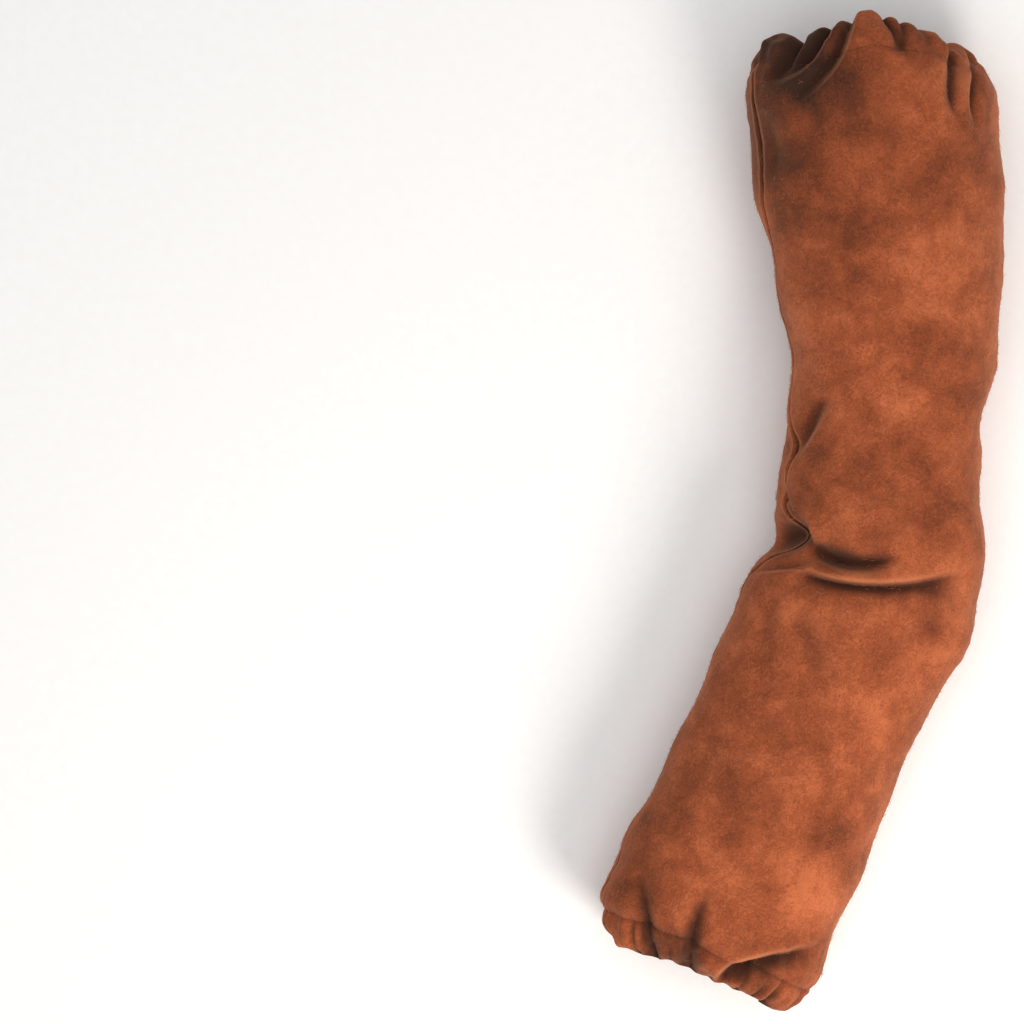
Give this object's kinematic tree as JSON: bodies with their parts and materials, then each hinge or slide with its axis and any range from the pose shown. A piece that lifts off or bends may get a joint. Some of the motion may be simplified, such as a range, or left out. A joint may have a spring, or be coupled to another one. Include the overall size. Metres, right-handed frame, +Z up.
{
  "type": "welding sleeve",
  "caption": "Wide suede leather tube that covers the arm from upper arm to wrist, bent a little at the elbow and gathered by an elastic at each end.",
  "frame": {"origin": "on the surface the sleeve lies on, under the middle of its bounding box", "axes": "+Y towards the arm end, +Z up off the surface, +X to the outer side of the elbow"},
  "size_m": [0.226, 0.568, 0.1066],
  "materials": {
    "suede": "napped russet split leather, matt",
    "elastic": "woven elastic, matt"
  },
  "bodies": {
    "root": {"sleeve_panel": "suede", "upper_casing": "suede", "wrist_casing": "suede", "upper_elastic": "elastic", "wrist_elastic": "elastic"}
  },
  "joints": []
}
